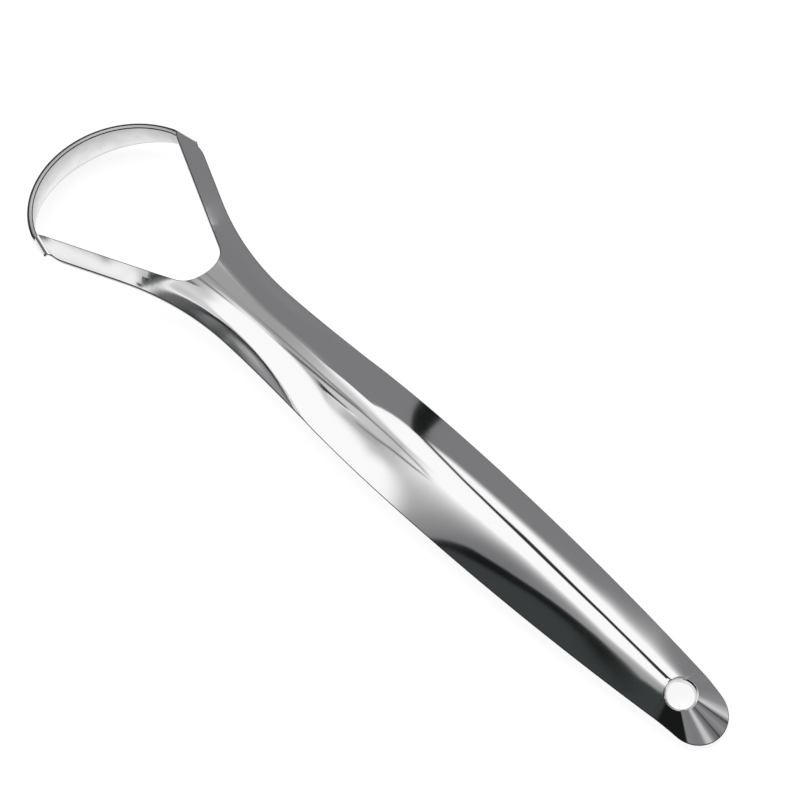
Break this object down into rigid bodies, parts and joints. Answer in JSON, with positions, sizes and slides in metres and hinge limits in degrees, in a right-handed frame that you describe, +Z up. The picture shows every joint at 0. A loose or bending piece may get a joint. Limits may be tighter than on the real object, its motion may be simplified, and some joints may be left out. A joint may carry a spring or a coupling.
{
  "type": "tongue scraper",
  "caption": "Tongue scraper pressed from steel sheet: ridged handle with a hanging hole, two flat arms round a D-shaped opening, and a curved scraping band on edge.",
  "frame": {"origin": "middle of the footprint on the table, on which the tail and the scraping edge rest", "axes": "+X from the tail to the scraping band, +Z up, out of the handle's ridged side"},
  "size_m": [0.1502, 0.032, 0.0079],
  "materials": {
    "polished_steel": "polished"
  },
  "bodies": {
    "root": {"scraper": "polished_steel"}
  },
  "joints": []
}
